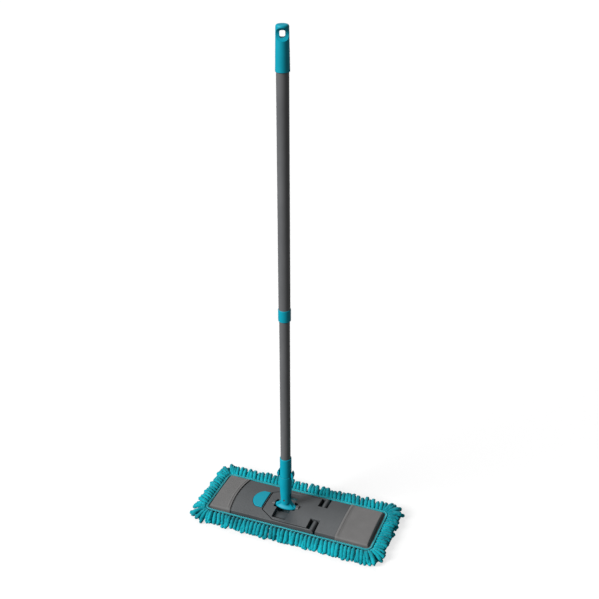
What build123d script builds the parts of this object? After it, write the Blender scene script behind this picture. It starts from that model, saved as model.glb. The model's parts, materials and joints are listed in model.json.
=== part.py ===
from build123d import *
from math import radians, tan
import os

# Flat mop with a telescopic handle, a two-axis swivel joint, a folding click frame and a
# chenille pocket pad. Millimetres. The origin lies on the floor under the middle of the pad:
# +X runs along the pad, +Y across it, +Z up the upright handle.

# ---- driving dimensions ------------------------------------------------------------------
X_HANDLE = -25.0            # the handle stands left of the pad's middle
X_HINGE = 55.0              # fold line of the frame
RUN = 0.05                  # running clearance of pins in their bores, radial
SEAM = 1.6                  # gap between the two halves of the frame

# pad, from the floor up
PAD_HALF_X, PAD_HALF_Y = 227.0, 98.0
PILE_TOP = 9.5
PILE_SHOULDER = 4.5         # the pile is at its widest up to this height
BACKING_TOP = 11.0
BINDING_TOP = 16.0
SHEET_HALF_X, SHEET_HALF_Y = 197.0, 68.5
BINDING_WIDTH = 8.5
NOTCH_ANGLE = 36.0          # each half of the pad is cut back this far from upright

# pockets
POCKET_GAP, POCKET_SKIN = 0.2, 1.0
LEFT_MOUTH, LEFT_MOUTH_MIDDLE, RIGHT_MOUTH = -137.0, -143.0, 112.0

# frame
PLATE_HALF_X, PLATE_HALF_Y = 186.0, 57.5
PLATE_BOTTOM = BACKING_TOP
PLATE_EDGE_TOP = 22.0
CROWN = 4.0                 # the top is arched this much higher along its middle
HINGE_Z = 16.5
KNUCKLE_R = 5.5
HINGE_ROD_R = 2.0
TIP_X, TIP_Y = -69.0, 31.0  # blunt tip of the tongue
SHOULDER_X = -36.0
TONGUE_Y = 52.5
NOTCH_X0, NOTCH_X1 = 43.5, 65.5
LINK_Y = 22.5
LEDGE = 2.0                 # thickness of the ledge that the tongue's tip rests on
CELL_TOP = 19.0             # roof of the hollows under the frame
RIB = 2.0
SLOT_HALF_X, SLOT_HALF_Y, SLOT_CORNER = 16.5, 46.0, 2.5
CRADLE_Y, CRADLE_FLOOR = 13.5, 14.0     # hollow round the rocker's spindle

# retainer under the joint, and its screws
RETAINER_HALF_X, RETAINER_HALF_Y = 34.0, 50.0
RETAINER_TOP = 13.0
FLOOR_Y0, FLOOR_Y1, FLOOR_TOP = 12.5, 34.0, 14.5        # raised floors under the slot
WINDOW_HALF_X, WINDOW_Y0, WINDOW_Y1 = 14.0, 36.0, 45.0  # openings near the slot's ends
SCREW_DX, SCREW_Y = 24.5, 33.0
SCREW_R, SCREW_HEAD_R, SCREW_HEAD, SCREW_TIP = 1.5, 2.8, 1.2, 19.3

# swivel joint
ROCK_Z = 23.0               # axis of the fore and aft swing, along X
TILT_Z = 46.5               # axis of the sideways tilt, along Y
PIN_R = 2.5
SPINDLE_R, SPINDLE_END_R, SPINDLE_HALF_X = 8.8, 4.0, 24.5
SKIRT_HALF_X, SKIRT_HALF_Y, SKIRT_BOTTOM, SKIRT_TOP = 24.4, 11.8, 22.6, 24.0
BOSS_IN, BOSS_OUT, BOSS_R = 25.2, 31.0, 7.0
NECK_Y, NECK_TOP_R = 5.4, 8.5
FORK_SLOT_Y, FORK_SLOT_TOP = 5.7, 62.5
FORK_BOTTOM_R, FORK_TOP_R = 12.0, 14.1
FORK_TOP = 108.9
SPIGOT_R, SPIGOT_BOTTOM = 10.5, 95.0
SLEEVE_R, SLEEVE_TOP = 12.9, 157.0
BUTTON_Z, BUTTON_Y = 113.5, 5.5
STEM_R, STEM_IN, STEM_OUT, STEM_BORE_IN = 3.0, 8.5, 14.4, 4.0

# telescopic handle
LOWER_R, LOWER_BORE = 11.0, 10.2
LOWER_BOTTOM, LOWER_TOP = 123.0, 650.0
UPPER_R, UPPER_BORE = 12.1, 11.4
UPPER_BOTTOM, UPPER_TOP = 512.0, 1055.0
COLLAR_R, COLLAR_BOTTOM, COLLAR_TOP = 13.15, 500.3, 526.8
LOCK_STUD_R = 4.0
LOCK_BOTTOM, LOCK_TOP = 654.0, 678.0
GRIP_BOTTOM, GRIP_TOP = 1011.4, 1095.6
GRIP_BOTTOM_R, GRIP_TOP_R = 13.75, 12.35
GRIP_TURN = 22.0            # the hanging hole is turned this far from the frame's front
HOLE_Z, HOLE_WIDTH, HOLE_HEIGHT, HOLE_CORNER = 1079.3, 10.4, 14.0, 3.0
SCOOP_R, SCOOP_LAND = 13.0, 5.0

# latch button
LATCH_X0, LATCH_X1, LATCH_Y = -103.0, -73.0, 27.5
LATCH_SHOULDER_X = -88.0
LATCH_BOTTOM, LATCH_WELL, LATCH_ROOF = 16.5, 12.5, 22.0
LATCH_PROUD = 1.8
LATCH_GAP = 0.5


# ---- helpers -----------------------------------------------------------------------------
def block(x0, x1, y0, y1, z0, z1):
    """Box from its limits."""
    centre = Pos((x0 + x1) / 2, (y0 + y1) / 2, (z0 + z1) / 2)
    return centre * Box(x1 - x0, y1 - y0, z1 - z0)


def post(radius, z0, z1, x=X_HANDLE, y=0.0):
    """Round bar along Z."""
    return Pos(x, y, (z0 + z1) / 2) * Cylinder(radius, z1 - z0)


def bar_x(radius, x0, x1, y, z):
    """Round bar along X."""
    return Pos((x0 + x1) / 2, y, z) * Rot(0, 90, 0) * Cylinder(radius, x1 - x0)


def bar_y(radius, y0, y1, x, z):
    """Round bar along Y."""
    return Pos(x, (y0 + y1) / 2, z) * Rot(90, 0, 0) * Cylinder(radius, y1 - y0)


def slab(face, z0, z1):
    """Plate between two heights from an outline in the XY plane."""
    return extrude(Pos(0, 0, z0) * face, z1 - z0)


def both_sides(shape):
    """The shape and its mirror image front to back."""
    return shape + mirror(shape, about=Plane.XZ)


def turned(*profile, x=X_HANDLE):
    """Solid of revolution about the upright axis from (radius, z) corners."""
    face = make_face(Plane.XZ * Polyline(*profile, close=True))
    return Pos(x, 0, 0) * revolve(face, Axis.Z)


def rounded_sheet(half_x, half_y, corner):
    """Outline of a rectangle with round corners."""
    return RectangleRounded(2 * half_x, 2 * half_y, corner)


def arched_bar(half_y, bottom, edge_top, x0, x1):
    """Bar along X whose top is arched from side to side."""
    top = ThreePointArc((-half_y, edge_top), (0, edge_top + CROWN), (half_y, edge_top))
    sides = Polyline((half_y, edge_top), (half_y, bottom), (-half_y, bottom), (-half_y, edge_top))
    return extrude(Plane.YZ.offset(x0) * make_face([top, *sides.edges()]), x1 - x0)


def cells(x0, x1, half_y, columns, rows):
    """Hollows under the frame, with ribs left between them."""
    step_x = (x1 - x0 + RIB) / columns
    step_y = (2 * half_y + RIB) / rows
    hollows = Part()
    for i in range(columns):
        for j in range(rows):
            low_x = x0 + i * step_x
            low_y = -half_y + j * step_y
            hollows += block(low_x, low_x + step_x - RIB, low_y, low_y + step_y - RIB,
                             PLATE_BOTTOM - 1, CELL_TOP)
    return hollows


def coil(radius, wire, height, turns):
    """Compression spring along Z from the origin."""
    path = Helix(pitch=(height - 2 * wire) / turns, height=height - 2 * wire, radius=radius)
    section = Plane(origin=path @ 0, z_dir=path % 0) * Circle(wire)
    return Pos(0, 0, wire) * sweep(section, path=path)


def pad_side(side):
    """Region of the pad that belongs to one half of the frame: +1 right, -1 left."""
    reach = PLATE_HALF_X * 2
    slope = (HINGE_Z + 1) * tan(radians(NOTCH_ANGLE))
    corners = [(X_HINGE, HINGE_Z), (X_HINGE + side * reach, HINGE_Z),
               (X_HINGE + side * reach, -1), (X_HINGE + side * slope, -1)]
    face = make_face(Plane.XZ * Polyline(*corners, close=True))
    return extrude(face, PAD_HALF_Y + 5, both=True)


# ---- frame -------------------------------------------------------------------------------
def main_outline():
    """Plan of the tongue, the link between the hinge notches and the right wing."""
    half = [(TIP_X, -TIP_Y), (SHOULDER_X, -TONGUE_Y), (NOTCH_X0, -TONGUE_Y),
            (NOTCH_X0, -LINK_Y), (NOTCH_X1, -LINK_Y), (NOTCH_X1, -PLATE_HALF_Y),
            (PLATE_HALF_X, -PLATE_HALF_Y)]
    other_half = [(x, -y) for x, y in reversed(half)]
    return make_face(Polyline(*half, *other_half, close=True))


def arched_top(plate):
    """The large arched face on top of a plate."""
    return plate.faces().filter_by(GeomType.CYLINDER).sort_by(SortBy.AREA)[-1]


def soften(plate, end_x, radius=0.8, corner=6.0):
    """Round the plate's two free corners and the rim of its arched top."""
    corners = plate.edges().filter_by(Axis.Z).filter_by_position(Axis.X, end_x - 0.1, end_x + 0.1)
    plate = fillet(corners, corner)
    return fillet(arched_top(plate).outer_wire().edges(), radius)


def soften_opening(plate, radius=0.6):
    """Round the rim of the opening in a plate's arched top."""
    return fillet(arched_top(plate).inner_wires()[0].edges(), radius)


def retainer_screw_places():
    """The four screws that hold the retainer."""
    return [(X_HANDLE + sx * SCREW_DX, sy * SCREW_Y) for sx in (-1, 1) for sy in (-1, 1)]


def retainer_outline(gap=0.0):
    """Plan of the retainer: as wide as the tongue lets it be."""
    rim = Pos(X_HANDLE, 0, 0) * Rectangle(2 * (RETAINER_HALF_X + gap), 2 * (RETAINER_HALF_Y + gap))
    return rim & offset(main_outline(), gap - 2)


def main_plate():
    """Right wing and tongue, with the slot, bearings and hinge link."""
    arch = arched_bar(PLATE_HALF_Y, PLATE_BOTTOM, PLATE_EDGE_TOP, -PLATE_HALF_X, PLATE_HALF_X)
    plate = slab(main_outline(), PLATE_BOTTOM, PLATE_EDGE_TOP + 2 * CROWN) & arch
    slot = slab(rounded_sheet(SLOT_HALF_X, SLOT_HALF_Y, SLOT_CORNER), 0, 40)
    cradle = slab(rounded_sheet(BOSS_IN - 0.2, CRADLE_Y, 1.5), CRADLE_FLOOR, 40)
    plate = soften_opening(soften(plate, PLATE_HALF_X) - Pos(X_HANDLE, 0, 0) * (slot + cradle))
    for side in (-1, 1):
        inner, outer = sorted((X_HANDLE + side * BOSS_IN, X_HANDLE + side * BOSS_OUT))
        foot = block(inner, outer, -BOSS_R, BOSS_R, PLATE_EDGE_TOP - 5, ROCK_Z)
        plate += foot + bar_x(BOSS_R, inner, outer, 0, ROCK_Z)
        inner, outer = sorted((X_HANDLE + side * (BOSS_IN - 1), X_HANDLE + side * BOSS_OUT))
        plate -= bar_x(PIN_R + RUN, inner, outer, 0, ROCK_Z)
        plate -= block(inner, outer, -PIN_R - RUN, PIN_R + RUN, 0, ROCK_Z)
    plate -= cells(NOTCH_X1 + 4, PLATE_HALF_X - 3, PLATE_HALF_Y - 3, 4, 3)
    plate -= cells(X_HANDLE + RETAINER_HALF_X + 3, NOTCH_X0 - 3, TONGUE_Y - 3, 1, 3)
    plate -= slab(retainer_outline(0.2), 0, RETAINER_TOP)
    plate -= block(TIP_X - 1, X_HANDLE - RETAINER_HALF_X, -TONGUE_Y, TONGUE_Y,
                   0, PLATE_BOTTOM + LEDGE + 0.3)
    for x, y in retainer_screw_places():
        plate -= post(SCREW_R, 0, SCREW_TIP + 0.2, x, y)
    return plate - bar_y(HINGE_ROD_R, -LINK_Y - 1, LINK_Y + 1, X_HINGE, HINGE_Z)


def joint_retainer():
    """Plate under the slot that traps the rocker's pin from below."""
    plate = slab(retainer_outline(), PLATE_BOTTOM, RETAINER_TOP)
    left, right = X_HANDLE - SLOT_HALF_X + 0.3, X_HANDLE + SLOT_HALF_X - 0.3
    plate -= block(left, right, -FLOOR_Y0, FLOOR_Y0, 0, 20)
    plate += both_sides(block(left, right, FLOOR_Y0, FLOOR_Y1, PLATE_BOTTOM, FLOOR_TOP))
    plate -= both_sides(block(X_HANDLE - WINDOW_HALF_X, X_HANDLE + WINDOW_HALF_X,
                              WINDOW_Y0, WINDOW_Y1, 0, 20))
    for side in (-1, 1):
        ends = (X_HANDLE + side * (BOSS_IN + 0.2), X_HANDLE + side * (BOSS_OUT - 0.2))
        plate += block(min(ends), max(ends), -PIN_R + 0.1, PIN_R - 0.1,
                       PLATE_BOTTOM, ROCK_Z - PIN_R - 0.1)
    for x, y in retainer_screw_places():
        plate -= post(SCREW_R, 0, 20, x, y)
        plate -= post(SCREW_HEAD_R, 0, PLATE_BOTTOM + SCREW_HEAD, x, y)
    return plate


def retainer_screws():
    """Four pan-head screws with a cross recess."""
    screws = []
    for x, y in retainer_screw_places():
        screw = post(SCREW_HEAD_R, PLATE_BOTTOM, PLATE_BOTTOM + SCREW_HEAD, x, y)
        screw += post(SCREW_R, PLATE_BOTTOM + SCREW_HEAD, SCREW_TIP, x, y)
        for arm in ((3.0, 0.6), (0.6, 3.0)):
            screw -= Pos(x, y, PLATE_BOTTOM) * Box(*arm, 1.4)
        screws.append(screw)
    return Compound(children=screws)


def latch_outline(gap=0.0):
    """Plan of the latch button: straight beside the tongue, bowed on its far side."""
    low, high = (LATCH_SHOULDER_X, -LATCH_Y), (LATCH_SHOULDER_X, LATCH_Y)
    bow = ThreePointArc(low, (LATCH_X0, 0), high)
    straight = Polyline(high, (LATCH_X1, LATCH_Y), (LATCH_X1, -LATCH_Y), low)
    face = make_face([bow, *straight.edges()])
    return offset(face, gap) if gap else face


def left_wing():
    """Left wing with the two arms that reach round the tongue to the hinge."""
    rim = make_face(Polyline((-PLATE_HALF_X, -PLATE_HALF_Y), (X_HINGE, -PLATE_HALF_Y),
                             (X_HINGE, PLATE_HALF_Y), (-PLATE_HALF_X, PLATE_HALF_Y), close=True))
    around_tongue = offset(main_outline(), SEAM, kind=Kind.INTERSECTION)
    arch = arched_bar(PLATE_HALF_Y, PLATE_BOTTOM, PLATE_EDGE_TOP, -PLATE_HALF_X, X_HINGE + 1)
    plate = slab(rim - around_tongue, PLATE_BOTTOM, PLATE_EDGE_TOP + 2 * CROWN) & arch
    arm_inside = TONGUE_Y + SEAM
    plate -= block(NOTCH_X0 - 2, X_HINGE + 10, -arm_inside, arm_inside, 0, 40)
    plate = soften(plate, -PLATE_HALF_X) - slab(latch_outline(LATCH_GAP), LATCH_WELL, 40)
    plate = soften_opening(plate)
    plate += block(TIP_X - 3, TIP_X + 9, -TIP_Y + 5, TIP_Y - 5, PLATE_BOTTOM, PLATE_BOTTOM + LEDGE)
    plate -= cells(-PLATE_HALF_X + 3, LATCH_X0 - 5, PLATE_HALF_Y - 3, 3, 3)
    plate += both_sides(bar_y(KNUCKLE_R, LINK_Y + 0.5, PLATE_HALF_Y, X_HINGE, HINGE_Z))
    return plate - bar_y(HINGE_ROD_R + RUN, -PLATE_HALF_Y + 1.2, PLATE_HALF_Y, X_HINGE, HINGE_Z)


def hinge_rod():
    """Steel rod of the fold, put in from the back."""
    return bar_y(HINGE_ROD_R, -PLATE_HALF_Y + 1.5, PLATE_HALF_Y - 0.3, X_HINGE, HINGE_Z)


def latch_button():
    """Push button, hollow below for its spring."""
    arch = arched_bar(PLATE_HALF_Y, 0, PLATE_EDGE_TOP + LATCH_PROUD, LATCH_X0 - 5, LATCH_X1 + 5)
    button = slab(latch_outline(), LATCH_BOTTOM, 40) & arch
    top = button.faces().filter_by(GeomType.CYLINDER).sort_by(Axis.Z)[-1]
    button = fillet(top.edges(), 1.6)
    return button - post(7.0, 0, LATCH_ROOF, (LATCH_X0 + LATCH_X1) / 2, 0)


def latch_spring():
    """Return spring of the latch button."""
    middle = Pos((LATCH_X0 + LATCH_X1) / 2, 0, LATCH_WELL)
    return middle * coil(5.0, 0.5, LATCH_ROOF - LATCH_WELL, 4)


# ---- pad ---------------------------------------------------------------------------------
def pile():
    """Outer form of the chenille pile, sloping in towards the binding above its shoulder."""
    widest = slab(rounded_sheet(PAD_HALF_X, PAD_HALF_Y, 30), 0, PILE_SHOULDER)
    low = Pos(0, 0, PILE_SHOULDER) * rounded_sheet(PAD_HALF_X, PAD_HALF_Y, 30)
    high = Pos(0, 0, PILE_TOP) * rounded_sheet(PAD_HALF_X - 11, PAD_HALF_Y - 11, 24)
    return widest + loft([low, high], ruled=True)


def backing():
    """Cloth that carries the pile."""
    return slab(rounded_sheet(SHEET_HALF_X, SHEET_HALF_Y, 14), PILE_TOP, BACKING_TOP)


def binding():
    """Sewn edging round the backing."""
    outer = slab(rounded_sheet(SHEET_HALF_X, SHEET_HALF_Y, 14), BACKING_TOP, BINDING_TOP)
    inner = rounded_sheet(SHEET_HALF_X - BINDING_WIDTH, SHEET_HALF_Y - BINDING_WIDTH, 3)
    return outer - slab(inner, 0, 40)


def pocket(mouth, side):
    """Cloth pocket over one end of the frame, open towards the handle: +1 right, -1 left."""
    cover = POCKET_GAP + POCKET_SKIN
    end = side * (PLATE_HALF_X + cover)
    inner_end, inner_mouth = end - side * POCKET_SKIN, mouth - side * POCKET_SKIN
    outer = arched_bar(PLATE_HALF_Y + cover, BACKING_TOP, PLATE_EDGE_TOP + cover,
                       min(mouth, end), max(mouth, end))
    return outer - arched_bar(PLATE_HALF_Y + POCKET_GAP, 0, PLATE_EDGE_TOP + POCKET_GAP,
                              min(inner_mouth, inner_end), max(inner_mouth, inner_end))


def pocket_left():
    """Left pocket, its mouth cut to a hollow curve."""
    half = PLATE_HALF_Y + POCKET_GAP + POCKET_SKIN
    hollow = LEFT_MOUTH - LEFT_MOUTH_MIDDLE
    radius = (half * half + hollow * hollow) / (2 * hollow)
    return pocket(LEFT_MOUTH, -1) - post(radius, 0, 60, LEFT_MOUTH_MIDDLE + radius, 0)


# ---- swivel joint ------------------------------------------------------------------------
def rocker():
    """Spindle that swings in the slot, flared up to the neck that carries the tilt pin."""
    arc = ThreePointArc((-SPINDLE_HALF_X, SPINDLE_END_R), (0, SPINDLE_R),
                        (SPINDLE_HALF_X, SPINDLE_END_R))
    base = Polyline((SPINDLE_HALF_X, SPINDLE_END_R), (SPINDLE_HALF_X, 0),
                    (-SPINDLE_HALF_X, 0), (-SPINDLE_HALF_X, SPINDLE_END_R))
    spindle = revolve(Plane.XZ * make_face([arc, *base.edges()]), Axis.X)
    body = Pos(X_HANDLE, 0, ROCK_Z) * spindle

    rings = [(SKIRT_HALF_X, SKIRT_HALF_Y, SKIRT_TOP), (20.0, 9.2, 26.6), (15.8, 7.0, 30.6),
             (13.5, 6.0, 33.8)]
    flare = loft([Pos(X_HANDLE, 0, z) * Ellipse(a, b) for a, b, z in rings])
    skirt = slab(Pos(X_HANDLE, 0, 0) * Ellipse(SKIRT_HALF_X, SKIRT_HALF_Y), SKIRT_BOTTOM, SKIRT_TOP)

    side = ThreePointArc((24.3, 24.0), (13.0, 34.5), (NECK_TOP_R, TILT_Z))
    crest = ThreePointArc((NECK_TOP_R, TILT_Z), (0, TILT_Z + NECK_TOP_R), (-NECK_TOP_R, TILT_Z))
    other = ThreePointArc((-NECK_TOP_R, TILT_Z), (-13.0, 34.5), (-24.3, 24.0))
    foot = Line((-24.3, 24.0), (24.3, 24.0))
    neck = extrude(Plane.XZ * make_face([side, crest, other, foot]), NECK_Y, both=True)

    body += skirt + flare + Pos(X_HANDLE, 0, 0) * neck
    body -= bar_x(PIN_R, X_HANDLE - 30, X_HANDLE + 30, 0, ROCK_Z)
    return body - bar_y(PIN_R + RUN, -20, 20, X_HANDLE, TILT_Z)


def rocker_pin():
    """Steel pin of the fore and aft swing."""
    return bar_x(PIN_R, X_HANDLE - BOSS_OUT + 0.3, X_HANDLE + BOSS_OUT - 0.3, 0, ROCK_Z)


def swivel_fork():
    """Lower column: a fork over the neck below, a socket above."""
    bottom = TILT_Z - FORK_BOTTOM_R
    flank = ThreePointArc((FORK_BOTTOM_R, 50), (13.3, 73), (FORK_TOP_R, FORK_TOP))
    rest = Polyline((FORK_TOP_R, FORK_TOP), (0, FORK_TOP), (0, bottom),
                    (FORK_BOTTOM_R, bottom), (FORK_BOTTOM_R, 50))
    column = revolve(Plane.XZ * make_face([flank, *rest.edges()]), Axis.Z)
    column = fillet(column.edges().filter_by(GeomType.CIRCLE).sort_by(Axis.Z)[-1], 0.7)
    round_end = bar_y(FORK_BOTTOM_R, -20, 20, 0, TILT_Z) + block(-20, 20, -20, 20, TILT_Z, 120)
    column &= round_end
    column -= block(-20, 20, -FORK_SLOT_Y, FORK_SLOT_Y, 0, FORK_SLOT_TOP)
    column -= bar_y(PIN_R, -20, 20, 0, TILT_Z)
    return Pos(X_HANDLE, 0, 0) * (column - post(SPIGOT_R, SPIGOT_BOTTOM - 0.3, 120, 0, 0))


def tilt_pin():
    """Steel pin of the sideways tilt."""
    return bar_y(PIN_R, -11.3, 11.3, X_HANDLE, TILT_Z)


def socket_sleeve():
    """Upper column: spigot in the fork, socket for the lower tube, bores for the buttons."""
    lip = 0.8
    sleeve = turned((0, SPIGOT_BOTTOM), (SPIGOT_R, SPIGOT_BOTTOM), (SPIGOT_R, FORK_TOP),
                    (SLEEVE_R, FORK_TOP), (SLEEVE_R, SLEEVE_TOP - lip),
                    (SLEEVE_R - lip, SLEEVE_TOP), (0, SLEEVE_TOP))
    sleeve -= post(LOWER_R, LOWER_BOTTOM, SLEEVE_TOP + 1)
    for side in (-1, 1):
        near, far = sorted((X_HANDLE + side * STEM_BORE_IN, X_HANDLE + side * 15))
        sleeve -= bar_x(STEM_R + RUN, near, far, 0, BUTTON_Z)
    return sleeve


def release_button(side):
    """Side lobe that is pressed in, with its stem and finger grooves: +1 right, -1 left."""
    profile = [(14.2, 109.8), (14.2, 120.5), (15.2, 122.3), (16.4, 121.6), (18.6, 116.5),
               (19.0, 113.5), (18.6, 111.0), (16.9, 103.4), (16.2, 102.5), (15.5, 103.2),
               (15.5, 109.8)]
    head = extrude(Plane.XZ * make_face(Polyline(*profile, close=True)), BUTTON_Y, both=True)
    ends = head.edges().filter_by(Axis.Y).filter_by_position(Axis.X, 16.3, 19.1)
    head = fillet(ends, 0.5)
    for z in (109.0, 112.0, 115.0):
        head -= Pos(19.2, 0, z) * Box(1.2, 2 * BUTTON_Y + 1, 0.9)
    button = head + bar_x(STEM_R, STEM_IN, STEM_OUT, 0, BUTTON_Z)
    if side < 0:
        button = mirror(button, about=Plane.YZ)
    return Pos(X_HANDLE, 0, 0) * button


def release_spring(side):
    """Return spring of a side button."""
    place = Pos(X_HANDLE + side * STEM_BORE_IN, 0, BUTTON_Z) * Rot(0, side * 90, 0)
    return place * coil(2.2, 0.3, STEM_IN - STEM_BORE_IN, 3)


# ---- telescopic handle -------------------------------------------------------------------
def tube(outer, bore, z0, z1):
    """Straight tube of the handle."""
    return post(outer, z0, z1) - post(bore, z0 - 1, z1 + 1)


def lock_stud():
    """Plug pressed in the lower tube's top, with the stud that carries the lock ring."""
    plug_bottom, flange, end = LOWER_TOP - 18, 3.0, 3.0
    return turned((0, plug_bottom), (LOWER_BORE, plug_bottom), (LOWER_BORE, LOWER_TOP),
                  (LOWER_R - 0.2, LOWER_TOP), (LOWER_R - 0.2, LOWER_TOP + flange),
                  (LOCK_STUD_R, LOWER_TOP + flange), (LOCK_STUD_R, LOCK_TOP + 1),
                  (8.0, LOCK_TOP + 1), (8.0, LOCK_TOP + 1 + end), (0, LOCK_TOP + 1 + end))


def lock_ring():
    """Ring that grips the upper tube from inside, with relief grooves."""
    outer, waist = UPPER_BORE - 0.08, UPPER_BORE - 1.2
    middle = (LOCK_BOTTOM + LOCK_TOP) / 2
    corners = [(LOCK_STUD_R + RUN, LOCK_BOTTOM), (outer, LOCK_BOTTOM), (outer, middle - 4),
               (waist, middle - 3), (waist, middle + 3), (outer, middle + 4),
               (outer, LOCK_TOP), (LOCK_STUD_R + RUN, LOCK_TOP)]
    return turned(*corners)


def collar():
    """Sleeve on the upper tube's lower end, which guides the lower tube."""
    lip = 0.8
    ring = turned((LOWER_R + 0.08, COLLAR_BOTTOM), (COLLAR_R - lip, COLLAR_BOTTOM),
                  (COLLAR_R, COLLAR_BOTTOM + lip), (COLLAR_R, COLLAR_TOP - lip),
                  (COLLAR_R - lip, COLLAR_TOP), (LOWER_R + 0.08, COLLAR_TOP))
    return ring - post(UPPER_R, UPPER_BOTTOM, COLLAR_TOP + 1)


def grip():
    """Moulded end with a hanging hole between two thumb scoops."""
    body = turned((0, GRIP_BOTTOM), (GRIP_BOTTOM_R, GRIP_BOTTOM), (GRIP_TOP_R, GRIP_TOP),
                  (0, GRIP_TOP), x=0)
    rims = body.edges().filter_by(GeomType.CIRCLE).sort_by(Axis.Z)
    body = fillet(rims[-1], 4.0)
    lower_rim = body.edges().filter_by(GeomType.CIRCLE).sort_by(Axis.Z)[0]
    body = fillet(lower_rim, 0.6)
    body -= both_sides(bar_x(SCOOP_R, -20, 20, SCOOP_LAND + SCOOP_R, HOLE_Z))
    hole = RectangleRounded(HOLE_WIDTH, HOLE_HEIGHT, HOLE_CORNER)
    body -= Pos(0, 0, HOLE_Z) * extrude(Plane.XZ * hole, 20, both=True)
    body -= post(UPPER_R, GRIP_BOTTOM - 1, UPPER_TOP, 0, 0)
    return Pos(X_HANDLE, 0, 0) * Rot(0, 0, GRIP_TURN) * body


# ---- write -------------------------------------------------------------------------------
def nodes():
    """Every piece by name."""
    return {
        "main_plate": main_plate(),
        "joint_retainer": joint_retainer(),
        "retainer_screws": retainer_screws(),
        "hinge_rod": hinge_rod(),
        "left_wing": left_wing(),
        "latch_button": latch_button(),
        "latch_spring": latch_spring(),
        "pile_left": pile() & pad_side(-1),
        "pile_right": pile() & pad_side(1),
        "backing_left": backing() & pad_side(-1),
        "backing_right": backing() & pad_side(1),
        "binding_left": binding() & pad_side(-1),
        "binding_right": binding() & pad_side(1),
        "pocket_left": pocket_left(),
        "pocket_right": pocket(RIGHT_MOUTH, 1),
        "rocker": rocker(),
        "rocker_pin": rocker_pin(),
        "swivel_fork": swivel_fork(),
        "tilt_pin": tilt_pin(),
        "socket_sleeve": socket_sleeve(),
        "release_button_left": release_button(-1),
        "release_button_right": release_button(1),
        "release_spring_left": release_spring(-1),
        "release_spring_right": release_spring(1),
        "lower_tube": tube(LOWER_R, LOWER_BORE, LOWER_BOTTOM, LOWER_TOP),
        "lock_stud": lock_stud(),
        "lock_ring": lock_ring(),
        "upper_tube": tube(UPPER_R, UPPER_BORE, UPPER_BOTTOM, UPPER_TOP),
        "collar": collar(),
        "grip": grip(),
    }


os.makedirs("parts", exist_ok=True)
for name, shape in nodes().items():
    export_step(shape, f"parts/{name}.step")
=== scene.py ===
"""Looks of the flat mop: materials of the moulded and metal pieces, and the chenille pad."""
import json
import math

import bpy
import numpy as np
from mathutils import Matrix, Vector


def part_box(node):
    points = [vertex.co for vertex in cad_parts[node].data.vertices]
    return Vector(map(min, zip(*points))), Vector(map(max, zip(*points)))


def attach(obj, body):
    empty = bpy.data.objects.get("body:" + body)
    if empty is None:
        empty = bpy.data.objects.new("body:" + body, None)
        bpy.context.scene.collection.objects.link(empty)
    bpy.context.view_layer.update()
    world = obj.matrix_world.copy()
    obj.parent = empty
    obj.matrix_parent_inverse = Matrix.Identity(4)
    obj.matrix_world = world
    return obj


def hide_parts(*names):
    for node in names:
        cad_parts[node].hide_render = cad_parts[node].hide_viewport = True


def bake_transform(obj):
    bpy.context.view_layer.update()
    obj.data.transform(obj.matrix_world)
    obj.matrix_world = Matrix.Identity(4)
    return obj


MM = 0.001
RANDOM = np.random.default_rng(41)

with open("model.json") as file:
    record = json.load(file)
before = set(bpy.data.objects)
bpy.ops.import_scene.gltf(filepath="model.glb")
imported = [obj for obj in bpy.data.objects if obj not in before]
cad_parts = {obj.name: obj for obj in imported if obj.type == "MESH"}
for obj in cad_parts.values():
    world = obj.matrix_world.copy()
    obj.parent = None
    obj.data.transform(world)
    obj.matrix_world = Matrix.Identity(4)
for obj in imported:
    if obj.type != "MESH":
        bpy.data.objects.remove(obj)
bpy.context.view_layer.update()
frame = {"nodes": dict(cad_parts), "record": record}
NODES = frame["nodes"]


# ---- measures taken from the frame ---------------------------------------------------------
_, PAD_Y, PILE_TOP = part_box("pile_right")[1]
SHEET_X, SHEET_Y, BACKING_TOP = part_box("backing_right")[1]
SHEET_CORNER = 14 * MM
PLATE_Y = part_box("main_plate")[1].y
POCKET_X, POCKET_Y, POCKET_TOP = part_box("pocket_right")[1]
LEFT_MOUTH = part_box("pocket_left")[1].x
RIGHT_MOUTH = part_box("pocket_right")[0].x

BINDING_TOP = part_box("binding_right")[1].z
# The tape's edges, in from the backing's edge and up.
TAPE_INNER, TAPE_OUTER = 5.4 * MM, 0.3 * MM
TAPE_LOW, TAPE_HIGH = BINDING_TOP + 0.8 * MM, BINDING_TOP + 1.8 * MM

# The frame's top is arched: its middle stands this much over its edges.
CROWN = 4.0 * MM
EDGE_TOP = POCKET_TOP - CROWN


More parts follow.
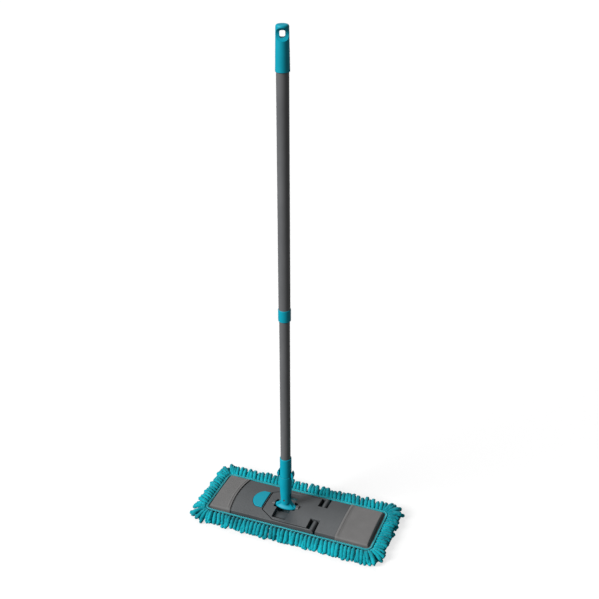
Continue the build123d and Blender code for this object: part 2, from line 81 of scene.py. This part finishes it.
# ---- node helpers --------------------------------------------------------------------------
class Graph:
    """A material's node tree with short calls for the nodes used here."""

    def __init__(self, name):
        self.material = bpy.data.materials.new(name)
        self.material.use_nodes = True
        self.tree = self.material.node_tree
        self.shader = self.tree.nodes["Principled BSDF"]
        self.place = self.add("ShaderNodeTexCoord").outputs["Object"]

    def add(self, kind, **settings):
        node = self.tree.nodes.new(kind)
        for key, value in settings.items():
            setattr(node, key, value)
        return node

    def link(self, source, target):
        self.tree.links.new(source, target)

    def put(self, **values):
        """Uniform values, set on the shader's own sockets."""
        for key, value in values.items():
            self.shader.inputs[key.replace("_", " ")].default_value = value

    def stretched(self, scale):
        """Object coordinates scaled along each axis."""
        mapping = self.add("ShaderNodeMapping")
        mapping.inputs["Scale"].default_value = scale
        self.link(self.place, mapping.inputs["Vector"])
        return mapping.outputs["Vector"]

    def noise(self, scale, detail=4.0, roughness=0.55, vector=None):
        node = self.add("ShaderNodeTexNoise")
        node.inputs["Scale"].default_value = scale
        node.inputs["Detail"].default_value = detail
        node.inputs["Roughness"].default_value = roughness
        self.link(vector or self.place, node.inputs["Vector"])
        return node.outputs["Fac"]

    def wave(self, scale, direction, distortion=0.0, vector=None):
        node = self.add("ShaderNodeTexWave", bands_direction=direction)
        node.inputs["Scale"].default_value = scale
        node.inputs["Distortion"].default_value = distortion
        self.link(vector or self.place, node.inputs["Vector"])
        return node.outputs["Fac"]

    def math(self, operation, a, b):
        node = self.add("ShaderNodeMath", operation=operation)
        for socket, value in zip(node.inputs, (a, b)):
            if isinstance(value, (int, float)):
                socket.default_value = value
            else:
                self.link(value, socket)
        return node.outputs[0]

    def ramp(self, factor, low, high, start=0.3, end=0.7):
        """Colour between low and high as factor goes from start to end."""
        node = self.add("ShaderNodeValToRGB")
        for element, place, colour in zip(node.color_ramp.elements, (start, end), (low, high)):
            element.position = place
            element.color = (*colour, 1.0)
        self.link(factor, node.inputs["Fac"])
        return node.outputs["Color"]

    def spread(self, factor, low, high):
        """A number between low and high."""
        node = self.add("ShaderNodeMapRange")
        node.inputs["To Min"].default_value = low
        node.inputs["To Max"].default_value = high
        self.link(factor, node.inputs["Value"])
        return node.outputs["Result"]

    def bump(self, height, distance, strength=1.0, under=None):
        node = self.add("ShaderNodeBump")
        node.inputs["Strength"].default_value = strength
        node.inputs["Distance"].default_value = distance
        self.link(height, node.inputs["Height"])
        if under is not None:
            self.link(under, node.inputs["Normal"])
        return node.outputs["Normal"]

    def painted_hollow_shade(self, colour, reach, darkest):
        """Colour darkened by painted shade from an ambient-occlusion node, in seams and hollows
        narrower than about reach.
        """
        hollow = self.add("ShaderNodeAmbientOcclusion", samples=6)
        hollow.inputs["Distance"].default_value = reach
        scale = self.add("ShaderNodeVectorMath", operation="SCALE")
        self.link(colour, scale.inputs[0])
        self.link(self.spread(hollow.outputs["AO"], darkest, 1.0), scale.inputs["Scale"])
        return scale.outputs["Vector"]

    def finish(self, colour=None, roughness=None, normal=None):
        for name, source in (("Base Color", colour), ("Roughness", roughness), ("Normal", normal)):
            if source is not None:
                self.link(source, self.shader.inputs[name])
        return self.material


# ---- materials -----------------------------------------------------------------------------
def moulded(name, dark, light, rough, shine):
    """Injection-moulded plastic: fine spark-eroded grain, faint flow marks, rubbed patches, and
    painted shade that darkens its seams and hollows.
    """
    g = Graph(name)
    flow = g.noise(14.0, 3.0)
    rub = g.noise(60.0, 5.0, 0.7)
    tint = g.math("ADD", g.math("MULTIPLY", flow, 0.7), g.math("MULTIPLY", rub, 0.3))
    grain = g.noise(1500.0, 2.0, 0.6)
    soft = g.bump(g.noise(30.0, 2.0), 0.25 * MM, 0.25)
    g.put(Specular_IOR_Level=shine)
    # painted shade: the colour darkens to a tenth in seams and hollows narrower than 4 mm
    colour = g.painted_hollow_shade(g.ramp(tint, dark, light), 4 * MM, 0.1)
    return g.finish(colour, g.spread(rub, *rough), g.bump(grain, 0.03 * MM, 0.6, soft))


def painted_tube():
    """Powder coat on steel tube: orange-peel ripple, faint drawn lines along the tube."""
    g = Graph("tube_powder_coat")
    lines = g.noise(220.0, 2.0, 0.5, g.stretched((1.0, 1.0, 0.02)))
    peel = g.noise(900.0, 2.0)
    scuff = g.noise(25.0, 6.0, 0.75, g.stretched((1.0, 1.0, 0.3)))
    colour = g.ramp(scuff, (0.082, 0.084, 0.088), (0.108, 0.110, 0.114))
    g.put(Coat_Weight=0.25, Coat_Roughness=0.3)
    under = g.bump(lines, 0.03 * MM, 0.5)
    return g.finish(colour, g.spread(scuff, 0.30, 0.44), g.bump(peel, 0.02 * MM, 0.5, under))


def bright_steel():
    """Drawn steel wire and pins."""
    g = Graph("drawn_steel")
    lines = g.noise(1400.0, 2.0, 0.5, g.stretched((1.0, 0.05, 1.0)))
    g.put(Metallic=1.0)
    colour = g.ramp(lines, (0.42, 0.42, 0.43), (0.66, 0.66, 0.67))
    return g.finish(colour, g.spread(lines, 0.22, 0.4), g.bump(lines, 0.01 * MM, 0.5))


def chenille():
    """Fluffy microfibre: fibre clumps in relief, painted shade at the roots between them, broad
    patches of tone, strong sheen.
    """
    g = Graph("chenille_microfibre")
    clump = g.noise(420.0, 6.0, 0.7)
    tuft = g.noise(1500.0, 3.0, 0.8)
    patch = g.noise(24.0, 2.0)
    # painted shade: the clump relief also darkens the colour in its low parts; the broad patches are
    # tone
    shade = g.math("ADD", g.math("MULTIPLY", clump, 0.55), g.math("MULTIPLY", patch, 0.45))
    colour = g.ramp(shade, (0.000, 0.130, 0.165), (0.003, 0.370, 0.435), 0.36, 0.62)
    g.put(Sheen_Weight=0.35, Sheen_Roughness=0.4, Sheen_Tint=(0.35, 0.85, 0.95, 1.0),
          Roughness=0.95, Specular_IOR_Level=0.15)
    under = g.bump(clump, 1.4 * MM, 0.9)
    return g.finish(colour, None, g.bump(tuft, 0.5 * MM, 0.8, under))


def woven(name, dark, light, thread, relief, sheen=0.15, hollow=6 * MM):
    """Plain weave: crossed threads in relief, shaded thread by thread, with painted shade darkening it
    in hollows.
    """
    g = Graph(name)
    waves = 0.5 / thread
    warp = g.wave(waves, "X", 0.6)
    weft = g.wave(waves, "Y", 0.6)
    cloth = g.math("MULTIPLY", warp, weft)
    cloud = g.noise(40.0, 4.0, 0.65)
    yarn = g.noise(900.0, 3.0, 0.7)
    shade = g.math("ADD", g.math("MULTIPLY", cloth, 0.35),
                   g.math("ADD", g.math("MULTIPLY", cloud, 0.4), g.math("MULTIPLY", yarn, 0.25)))
    g.put(Sheen_Weight=sheen, Sheen_Roughness=0.5, Roughness=0.88, Specular_IOR_Level=0.2)
    under = g.bump(cloth, relief, 0.8)
    # painted shade: the colour darkens to black in hollows narrower than hollow
    colour = g.painted_hollow_shade(g.ramp(shade, dark, light, 0.2, 0.75), hollow, 0.0)
    return g.finish(colour, None, g.bump(yarn, relief * 0.5, 0.5, under))


MATERIALS = {
    "teal_plastic": moulded("teal_moulding", (0.000, 0.225, 0.305), (0.001, 0.280, 0.375),
                            rough=(0.42, 0.56), shine=0.2),
    "grey_plastic": moulded("grey_moulding", (0.050, 0.054, 0.057), (0.070, 0.075, 0.079),
                            rough=(0.38, 0.52), shine=0.4),
    "lock_plastic": moulded("pale_moulding", (0.42, 0.42, 0.41), (0.52, 0.52, 0.51),
                            rough=(0.40, 0.55), shine=0.4),
    "tube_paint": painted_tube(),
    "steel": bright_steel(),
    "chenille": chenille(),
    # The backing's painted shade reaches 45 mm, so the cloth goes dark under the frame.
    "backing_cloth": woven("backing_weave", (0.000, 0.110, 0.140), (0.004, 0.220, 0.260),
                           thread=1.0 * MM, relief=0.3 * MM, hollow=45 * MM),
    "binding_tape": woven("binding_weave", (0.000, 0.270, 0.320), (0.010, 0.470, 0.530),
                          thread=0.8 * MM, relief=0.2 * MM, sheen=0.3),
    "pocket_cloth": woven("pocket_weave", (0.108, 0.106, 0.105), (0.160, 0.157, 0.156),
                          thread=0.9 * MM, relief=0.12 * MM),
    "thread": woven("stitch_thread", (0.000, 0.250, 0.300), (0.020, 0.520, 0.580),
                    thread=0.4 * MM, relief=0.1 * MM, sheen=0.3),
    "grey_thread": woven("pocket_thread", (0.090, 0.088, 0.086), (0.150, 0.146, 0.144),
                         thread=0.4 * MM, relief=0.1 * MM),
}


def dress_cad_nodes():
    """Give every carried-over CAD piece the material of its slot."""
    for part in frame["record"]["subparts"]:
        node = NODES[part["node"]]
        node.data.materials.clear()
        node.data.materials.append(MATERIALS[part["material_slot"]])


# ---- mesh helpers --------------------------------------------------------------------------
def add_piece(name, vertices, faces, material, smooth=True):
    """One mesh object from arrays in metres."""
    mesh = bpy.data.meshes.new(name)
    mesh.from_pydata([tuple(v) for v in vertices], [], [tuple(f) for f in faces])
    mesh.validate()
    mesh.polygons.foreach_set("use_smooth", [smooth] * len(mesh.polygons))
    mesh.materials.append(MATERIALS[material])
    mesh.update()
    piece = bpy.data.objects.new(name, mesh)
    bpy.context.scene.collection.objects.link(piece)
    return piece


def ring_faces(rings, sides):
    """Quads between successive closed rings, with a cap at each end."""
    i, j = np.meshgrid(np.arange(rings - 1), np.arange(sides), indexing="ij")
    a = i * sides + j
    b = i * sides + (j + 1) % sides
    faces = np.stack([a, b, b + sides, a + sides], -1).reshape(-1, 4).tolist()
    faces.append(list(range(sides))[::-1])
    faces.append([(rings - 1) * sides + k for k in range(sides)])
    return faces


def sheet_faces(rows, cols, flipped=False):
    """Faces of a closed sheet: a grid, the same grid below it, and the rim that joins the two."""
    i, j = np.meshgrid(np.arange(rows - 1), np.arange(cols - 1), indexing="ij")
    a = (i * cols + j).ravel()
    quads = np.stack([a, a + cols, a + cols + 1, a + 1], -1)
    rim = ([k * cols for k in range(rows)] + [(rows - 1) * cols + k for k in range(1, cols)]
           + [k * cols + cols - 1 for k in range(rows - 2, -1, -1)] + list(range(cols - 2, 0, -1)))
    if flipped:
        quads, rim = quads[:, ::-1], rim[::-1]
    below = rows * cols
    faces = quads.tolist() + (quads[:, ::-1] + below).tolist()
    return faces + [[p, p + below, q + below, q] for p, q in zip(rim, rim[1:] + rim[:1])]


def across_fold(piece):
    """Bake a piece of the pad's placement into its mesh."""
    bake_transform(piece)
    return piece


def merge(bundles):
    """Many (vertices, faces) bundles as one."""
    vertices, faces, first = [], [], 0
    for points, polygons in bundles:
        vertices.append(points)
        faces.extend([[first + k for k in polygon] for polygon in polygons])
        first += len(points)
    return np.concatenate(vertices), faces


def bezier(start, bend, end, at):
    """Points along a curve that leaves start towards bend and ends at end."""
    t = at[:, None]
    return (1 - t) ** 2 * start + 2 * t * (1 - t) * bend + t ** 2 * end


# ---- chenille noodles ----------------------------------------------------------------------
NOODLE_SIDES = 10
# Where the rings lie along a noodle, closer together over its round end.
NOODLE_AT = np.concatenate([np.linspace(0, 0.86, 14), [0.91, 0.95, 0.98, 1.0]])
NOODLE_RINGS = len(NOODLE_AT)
DOME_FROM = 0.87
LOWEST = 0.25 * MM


def noodle(start, bend, end, radius):
    """One fluffy finger: a soft tube with a round end, lumpy like chenille yarn."""
    line = bezier(np.array(start), np.array(bend), np.array(end), NOODLE_AT)
    along = np.gradient(line, axis=0)
    along /= np.linalg.norm(along, axis=1)[:, None]
    side = np.cross(along, (0.0, 0.0, 1.0)) + 1e-6
    side /= np.linalg.norm(side, axis=1)[:, None]
    over = np.cross(side, along)
    t = NOODLE_AT
    neck = np.minimum(1.0, 0.6 + 2.0 * t)
    dome = np.sqrt(np.clip(1.0 - ((t - DOME_FROM) / (1 - DOME_FROM)).clip(0) ** 2, 0.05, 1))
    angle = np.linspace(0, 2 * np.pi, NOODLE_SIDES, endpoint=False)
    twist, turns = RANDOM.uniform(0, 6.28), RANDOM.uniform(20, 26)
    lumps = 1 + 0.08 * np.sin(2 * angle[None] + turns * t[:, None] + twist)
    lumps = lumps + RANDOM.normal(0, 0.06, (NOODLE_RINGS, NOODLE_SIDES))
    r = (radius * neck * dome)[:, None] * lumps
    points = (line[:, None] + side[:, None] * (r * np.cos(angle))[..., None]
              + over[:, None] * (r * np.sin(angle))[..., None]).reshape(-1, 3)
    points[:, 2] = np.maximum(points[:, 2], LOWEST)
    return points, ring_faces(NOODLE_RINGS, NOODLE_SIDES)


def rounded_path(half_x, half_y, corner, pitch):
    """Evenly spaced (point, outward direction) pairs round a rectangle with round corners."""
    places, fan = [], 7
    straight = [((-half_x + corner, -half_y), (1, 0), 2 * (half_x - corner), (0, -1)),
                ((half_x, -half_y + corner), (0, 1), 2 * (half_y - corner), (1, 0)),
                ((half_x - corner, half_y), (-1, 0), 2 * (half_x - corner), (0, 1)),
                ((-half_x, half_y - corner), (0, -1), 2 * (half_y - corner), (-1, 0))]
    for start, way, length, out in straight:
        count = round(length / pitch)
        for i in range(count):
            s = (i + 0.5) / count * length
            places.append(((start[0] + way[0] * s, start[1] + way[1] * s), out))
        centre = [start[k] + way[k] * length - out[k] * corner for k in (0, 1)]
        turn = math.atan2(out[1], out[0])
        for i in range(fan):
            angle = turn + (i + 0.5) / fan * math.pi / 2
            out_now = (math.cos(angle), math.sin(angle))
            places.append(([centre[k] + corner * out_now[k] for k in (0, 1)], out_now))
    return places


def fringe_row(root_z, rise_z, reach, tip_z, radius, pitch):
    """One row of fingers round the pad, which hang in front and stand off the other sides."""
    bundles = []
    for (x, y), (ox, oy) in rounded_path(SHEET_X - 1 * MM, SHEET_Y - 1 * MM, SHEET_CORNER, pitch):
        front, back, left, right = max(0.0, -oy), max(0.0, oy), max(0.0, -ox), max(0.0, ox)
        # 1 in the middle of a corner, 0 along a side.
        corner = 4 * (ox * oy) ** 2
        lift = 1 + 0.22 * back + 0.16 * left - 0.12 * front
        sweep = 0.24 * front + 0.20 * right + 0.22 * back - 0.40 * left
        lean = sweep * (1 - corner) + RANDOM.normal(0, 0.075 + 0.12 * corner)
        c, s = math.cos(lean), math.sin(lean)
        way = np.array([ox * c - oy * s, ox * s + oy * c, 0.0])
        size = radius * RANDOM.uniform(0.9, 1.1)
        start = np.array([x, y, root_z])
        length = reach * (1 + 0.17 * corner - 0.10 * (left + right) * (1 - corner))
        end = start + way * length * RANDOM.uniform(0.88, 1.08)
        end[2] = max(size * 0.95, tip_z * (lift - 0.4 * front) + RANDOM.normal(0, 1.6) * MM)
        bend = start + (end - start) * RANDOM.uniform(0.40, 0.55)
        bend[2] = rise_z * lift + RANDOM.normal(0, 1.2) * MM
        bundles.append(noodle(start, bend, end, size))
    return bundles


def fringe():
    """Three rows of chenille fingers round the edge, the top one arching highest."""
    overhang = PAD_Y - SHEET_Y
    rows = fringe_row(root_z=13.0 * MM, rise_z=20.5 * MM, reach=overhang + 3 * MM,
                      tip_z=12.5 * MM, radius=4.6 * MM, pitch=9.2 * MM)
    rows += fringe_row(root_z=9.0 * MM, rise_z=13.0 * MM, reach=overhang + 4 * MM,
                       tip_z=6.0 * MM, radius=4.4 * MM, pitch=9.6 * MM)
    rows += fringe_row(root_z=6.0 * MM, rise_z=6.0 * MM, reach=overhang - 1 * MM,
                       tip_z=4.0 * MM, radius=4.2 * MM, pitch=10.5 * MM)
    return across_fold(add_piece("fringe", *merge(rows), "chenille"))


def underside():
    """Shorter fingers that cover the underside of the backing, lying over each other."""
    bundles = []
    pitch_x, pitch_y = 10.8 * MM, 10.4 * MM
    columns, rows = int(2 * SHEET_X / pitch_x), int(2 * SHEET_Y / pitch_y)
    for i in range(columns):
        for j in range(rows):
            x = (i + 0.5 - columns / 2) * pitch_x + RANDOM.normal(0, 1.8) * MM
            y = (j + 0.5 - rows / 2) * pitch_y + RANDOM.normal(0, 1.8) * MM
            angle = RANDOM.uniform(0, 2 * math.pi)
            way = np.array([math.cos(angle), math.sin(angle), 0.0])
            start = np.array([x, y, PILE_TOP + 0.5 * MM])
            end = start + way * RANDOM.uniform(13, 20) * MM
            end[2] = RANDOM.uniform(3.6, 4.4) * MM
            bend = start + way * 2.0 * MM
            bend[2] = 0.5 * MM
            bundles.append(noodle(start, bend, end, RANDOM.uniform(3.6, 4.4) * MM))
    piece = add_piece("underside_pile", *merge(bundles), "chenille")
    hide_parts("pile_left", "pile_right")
    return across_fold(piece)


# ---- backing and binding -------------------------------------------------------------------
def rounded_rectangle(half_x, half_y, corner, step):
    """Closed outline of a rectangle with round corners, in even steps."""
    points = []
    for cx, cy, first in ((half_x, -half_y, -90), (half_x, half_y, 0),
                          (-half_x, half_y, 90), (-half_x, -half_y, 180)):
        centre = (cx - math.copysign(corner, cx), cy - math.copysign(corner, cy))
        for k in range(7):
            a = math.radians(first + 15 * k)
            points.append((centre[0] + corner * math.cos(a), centre[1] + corner * math.sin(a)))
    line = np.array(points + points[:1])
    length = np.concatenate([[0], np.cumsum(np.linalg.norm(np.diff(line, axis=0), axis=1))])
    at = np.linspace(0, length[-1], round(length[-1] / step), endpoint=False)
    return np.stack([np.interp(at, length, line[:, k]) for k in (0, 1)], -1)


def outward(outline):
    """Unit normals of a closed outline that runs anticlockwise."""
    along = np.roll(outline, -1, 0) - np.roll(outline, 1, 0)
    normal = np.stack([along[:, 1], -along[:, 0]], -1)
    return normal / np.linalg.norm(normal, axis=1)[:, None]


def backing():
    """Woven sheet under the frame, thin and closed."""
    step = 4 * MM
    xs = np.linspace(-SHEET_X, SHEET_X, round(2 * SHEET_X / step))
    ys = np.linspace(-SHEET_Y, SHEET_Y, round(2 * SHEET_Y / step))
    gx, gy = np.meshgrid(xs, ys, indexing="ij")
    top = np.stack([gx, gy, np.full_like(gx, BACKING_TOP - 0.15 * MM)], -1).reshape(-1, 3)
    low = top - (0, 0, 1.1 * MM)
    vertices = np.concatenate([top, low])
    piece = add_piece("backing", vertices, sheet_faces(*gx.shape), "backing_cloth", smooth=False)
    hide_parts("backing_left", "backing_right")
    return across_fold(piece)


def smooth_wander(count, span):
    """Random numbers round a closed loop, averaged over this many neighbours."""
    draws = np.tile(RANDOM.normal(0, 1, count), 3)
    return np.convolve(draws, np.ones(span) / span, "same")[count:2 * count]


def binding():
    """Folded tape sewn round the backing, lifted at its outer edge by the fingers under it."""
    half = (TAPE_INNER - TAPE_OUTER) / 2
    inset = (TAPE_INNER + TAPE_OUTER) / 2
    outline = rounded_rectangle(SHEET_X - inset, SHEET_Y - inset, SHEET_CORNER - inset, 3 * MM)
    normal = outward(outline)
    count, sides = len(outline), 14
    wander = smooth_wander(count, 9)
    ripple = smooth_wander(count, 5)
    angle = np.linspace(0, 2 * np.pi, sides, endpoint=False)
    across = np.sign(np.cos(angle)) * np.abs(np.cos(angle)) ** 0.7
    out = half * across[None] * (1 + 0.06 * wander[:, None])
    xy = outline[:, None] + normal[:, None] * out[..., None]
    middle, tilt = (TAPE_LOW + TAPE_HIGH) / 2, (TAPE_HIGH - TAPE_LOW) / 2
    z = middle + tilt * across[None] + 1.5 * MM * np.sin(angle)[None] + 0.5 * MM * ripple[:, None]
    points = np.concatenate([xy, z[..., None]], -1).reshape(-1, 3)
    i, j = np.meshgrid(np.arange(count), np.arange(sides), indexing="ij")
    a, b = i * sides + j, i * sides + (j + 1) % sides
    c, d = ((i + 1) % count) * sides + (j + 1) % sides, ((i + 1) % count) * sides + j
    faces = np.stack([a, d, c, b], -1).reshape(-1, 4).tolist()
    piece = add_piece("binding", points, faces, "binding_tape")
    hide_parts("binding_left", "binding_right")
    return across_fold(piece)


def stitch(start, end, normal, width):
    """One sewn stitch: a short thread that rises between its two holes."""
    start, end, normal = np.array(start), np.array(end), np.array(normal)
    bend = (start + end) / 2 + normal * width * 1.6
    swell = np.array([0.5, 0.95, 1.0, 0.95, 0.5])
    rings, sides = len(swell), 6
    line = bezier(start, bend, end, np.linspace(0, 1, rings))
    way = (end - start) / np.linalg.norm(end - start)
    side = np.cross(way, normal)
    angle = np.linspace(0, 2 * np.pi, sides, endpoint=False)
    r = width / 2 * swell
    points = (line[:, None] + side * (r[:, None] * np.cos(angle))[..., None]
              + normal * (r[:, None] * np.sin(angle))[..., None]).reshape(-1, 3)
    return points, ring_faces(rings, sides)


def binding_stitches():
    """Two rows of stitches along the binding."""
    bundles = []
    for depth in (0.28, 0.74):
        inset = TAPE_INNER + (TAPE_OUTER - TAPE_INNER) * depth
        outline = rounded_rectangle(SHEET_X - inset, SHEET_Y - inset, SHEET_CORNER - inset, 4.2 * MM)
        z = TAPE_LOW + (TAPE_HIGH - TAPE_LOW) * depth + 1.45 * MM
        for here, there in zip(outline, np.roll(outline, -1, 0)):
            stop = here + (there - here) * 0.72
            bundles.append(stitch((*here, z), (*stop, z), (0, 0, 1), 0.7 * MM))
    piece = add_piece("binding_stitches", *merge(bundles), "thread")
    return across_fold(piece)


# ---- pockets -------------------------------------------------------------------------------
ROUNDING = 3.2 * MM
CLOTH = 0.8 * MM
HEM = 7 * MM


def arched_top(y):
    """Height of the cloth over the frame's arched top, this far from its middle line."""
    return EDGE_TOP + CROWN * (1 - (y / PLATE_Y) ** 2)


def shoulder(distance):
    """Height share of cloth bent over an edge: 0 at the edge, 1 past the bend."""
    share = np.clip(distance / ROUNDING, 0, 1)
    return np.sqrt(np.clip(1 - (1 - share) ** 2, 0, 1))


def pocket_cloth(side, mouth_of):
    """Cloth over one end of the frame and out to the tape, from the mouth's x at each y."""
    end = side * (POCKET_X + 0.3 * MM)
    half_y = POCKET_Y + 0.2 * MM
    reach = abs(end - mouth_of(0.0))
    bent = np.linspace(0, 1, 9) ** 1.6 * ROUNDING
    flange = np.array([6.0, 4.5, 3.0, 1.5, 0.4]) * MM
    ys = np.concatenate([-half_y - flange, -half_y + bent, np.linspace(-half_y, half_y, 44)[2:-2],
                         half_y - bent[::-1], half_y + flange[::-1]])
    us = np.concatenate([np.linspace(0, 1, 34)[:-3], 1 - bent[::-1] / reach, 1 + flange[::-1] / reach])
    rows, cols = len(us), len(ys)
    points = np.zeros((rows, cols, 3))
    foot = TAPE_LOW - 0.2 * MM
    inside = np.minimum(np.abs(ys), half_y)
    for i, u in enumerate(us):
        x = mouth_of(inside) + (end - mouth_of(inside)) * u
        rise = shoulder(half_y - np.abs(ys)) * shoulder(side * (end - x))
        ripple = 0.35 * MM * np.sin(x * 130 + 1.3 * np.sin(ys * 70))
        pull = ripple * np.clip((abs(ys) / half_y) ** 3, 0, 1) * (rise > 0.9)
        points[i] = np.stack([x, ys, foot + (arched_top(inside) - foot) * rise + pull], -1)
    hem = us * reach < HEM
    points[hem, :, 2] += CLOTH * (np.abs(ys) < half_y)
    outer = points.reshape(-1, 3)
    return np.concatenate([outer, outer - (0, 0, CLOTH)]), sheet_faces(rows, cols, flipped=side < 0)


def left_mouth(y):
    """The left mouth is hollowed to a shallow curve."""
    return LEFT_MOUTH - 6 * MM * (1 - (y / POCKET_Y) ** 2)


def right_mouth(y):
    """The right mouth is straight."""
    return RIGHT_MOUTH + 0 * y


def pocket_piece(name, side, mouth_of, body):
    """A pocket with the row of stitches along its hem."""
    piece = add_piece(name + "_cloth", *pocket_cloth(side, mouth_of), "pocket_cloth")
    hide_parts(name)
    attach(piece, body)
    bundles = []
    inset, pitch, long, above = 5 * MM, 3.4 * MM, 2.4 * MM, 0.86 * MM
    for y in np.arange(-POCKET_Y + inset, POCKET_Y - inset, pitch):
        ends = [(mouth_of(at) + side * inset, at, arched_top(at) + above) for at in (y, y + long)]
        bundles.append(stitch(*ends, (0, 0, 1), 0.6 * MM))
    seam = add_piece(name + "_stitches", *merge(bundles), "grey_thread")
    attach(seam, body)
    length = abs(side * POCKET_X - mouth_of(0.0)) + 14 * MM


# ---- springs -------------------------------------------------------------------------------
def spring(name):
    """A return spring, squeezed between the piece it stands on and its button."""
    source = NODES[name]
    mesh = source.data.copy()
    mesh.transform(source.matrix_world)
    coil = bpy.data.objects.new(f"{name}_coil", mesh)
    bpy.context.scene.collection.objects.link(coil)
    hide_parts(name)
    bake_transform(coil)


# ---- studio --------------------------------------------------------------------------------
def studio():
    """Pale floor, sheer enough to show what hangs below it, under a white sky and two lights."""
    mesh = bpy.data.meshes.new("floor")
    reach, veil = 60.0, 0.28
    mesh.from_pydata([(-reach, -reach, 0), (reach, -reach, 0), (reach, reach, 0), (-reach, reach, 0)],
                     [], [(0, 1, 2, 3)])
    floor = bpy.data.objects.new("floor", mesh)
    bpy.context.scene.collection.objects.link(floor)
    g = Graph("floor_paint")
    g.put(Base_Color=(0.86, 0.86, 0.86, 1), Roughness=0.9, Specular_IOR_Level=0.1)
    seen = g.add("ShaderNodeLightPath").outputs["Is Camera Ray"]
    g.link(g.math("MULTIPLY", seen, veil), g.shader.inputs["Alpha"])
    mesh.materials.append(g.finish())

    world = bpy.data.worlds.new("studio")
    world.use_nodes = True
    backdrop = world.node_tree.nodes["Background"]
    backdrop.inputs["Color"].default_value = (1, 1, 1, 1)
    level = world.node_tree.nodes.new("ShaderNodeMapRange")
    level.inputs["To Min"].default_value = 0.20
    level.inputs["To Max"].default_value = 1.0
    ray = world.node_tree.nodes.new("ShaderNodeLightPath")
    world.node_tree.links.new(ray.outputs["Is Camera Ray"], level.inputs["Value"])
    world.node_tree.links.new(level.outputs["Result"], backdrop.inputs["Strength"])
    bpy.context.scene.world = world

    lights = (("key", (-0.567, -0.630, 0.530), 5.2, 26), ("top", (-0.24, 0.53, 0.81), 0.6, 25))
    for name, aim_from, strength, angle in lights:
        light = bpy.data.lights.new(name, "SUN")
        light.energy = strength
        light.angle = math.radians(angle)
        lamp = bpy.data.objects.new(name, light)
        lamp.rotation_mode = "QUATERNION"
        lamp.rotation_quaternion = Vector(aim_from).to_track_quat("Z", "Y")
        bpy.context.scene.collection.objects.link(lamp)


def camera():
    """Eye level of a standing person, in front of the pad and to its right."""
    data = bpy.data.cameras.new("camera")
    data.sensor_width = 36.0
    data.lens = 59.98
    eye = bpy.data.objects.new("camera", data)
    yaw, pitch = math.radians(-21.19), math.radians(27.59)
    gaze = Vector((math.sin(yaw) * math.cos(pitch), math.cos(yaw) * math.cos(pitch), -math.sin(pitch)))
    eye.location = (0.6473, -1.6500, 1.4793)
    eye.rotation_mode = "QUATERNION"
    eye.rotation_quaternion = gaze.to_track_quat("-Z", "Y")
    bpy.context.scene.collection.objects.link(eye)
    bpy.context.scene.camera = eye
    bpy.context.scene.view_settings.view_transform = "Standard"


# ---- build ---------------------------------------------------------------------------------
camera()
studio()
dress_cad_nodes()
edge = fringe()
pile = underside()
sheet = backing()
tape = binding()
sewing = binding_stitches()
pocket_piece("pocket_left", -1, left_mouth, "left_wing")
pocket_piece("pocket_right", 1, right_mouth, "main_plate")

spring("latch_spring")
spring("release_spring_left")
spring("release_spring_right")

bpy.context.view_layer.update()
